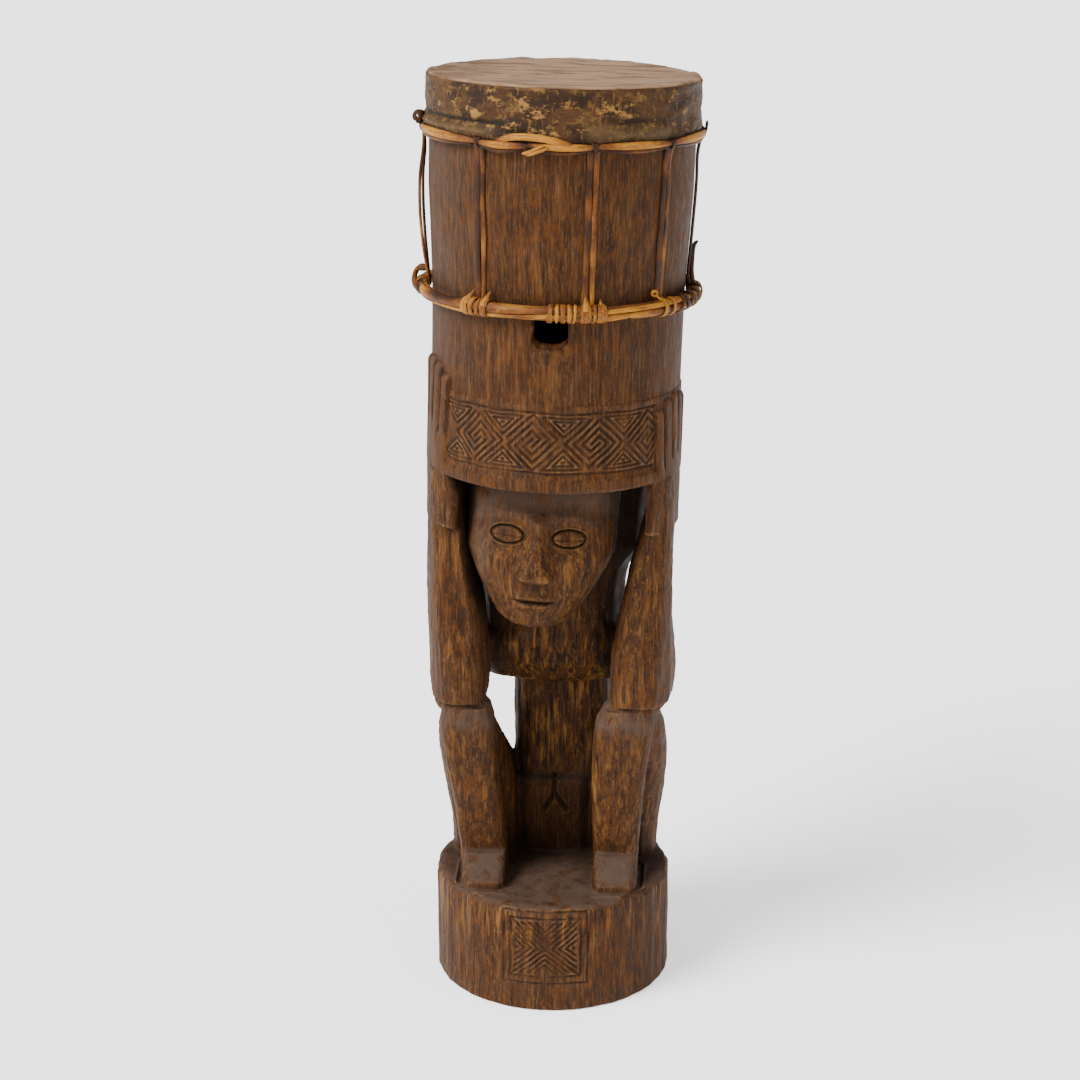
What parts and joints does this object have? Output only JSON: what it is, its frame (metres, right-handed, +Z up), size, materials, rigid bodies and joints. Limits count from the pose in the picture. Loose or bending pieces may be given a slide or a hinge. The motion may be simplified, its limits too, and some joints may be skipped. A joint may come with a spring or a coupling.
{
  "type": "carved figure drum",
  "caption": "Ceremonial drum carved from one log: a squatting figure on a round base holds up a hollow drum with a rattan-laced hide head.",
  "frame": {"origin": "centre of the round base, on its underside", "axes": "+Z up along the log, the carved figure faces -Y, +X is on the right for someone who looks at its face"},
  "size_m": [0.2766, 0.2716, 0.9029],
  "materials": {
    "carved_wood": "old dark brown hardwood, hand carved, worn matt",
    "rawhide": "old stiff rawhide, brown with pale wear",
    "rattan": "split rattan, golden brown, slightly glossy"
  },
  "bodies": {
    "root": {"carved_trunk": "carved_wood", "hide_head": "rawhide", "upper_rattan_ring": "rattan", "lower_rattan_hoop": "rattan", "rattan_tie_1": "rattan", "rattan_tie_2": "rattan", "rattan_tie_3": "rattan", "rattan_tie_4": "rattan", "rattan_tie_5": "rattan", "rattan_tie_6": "rattan", "rattan_tie_7": "rattan", "rattan_tie_8": "rattan"}
  },
  "joints": []
}
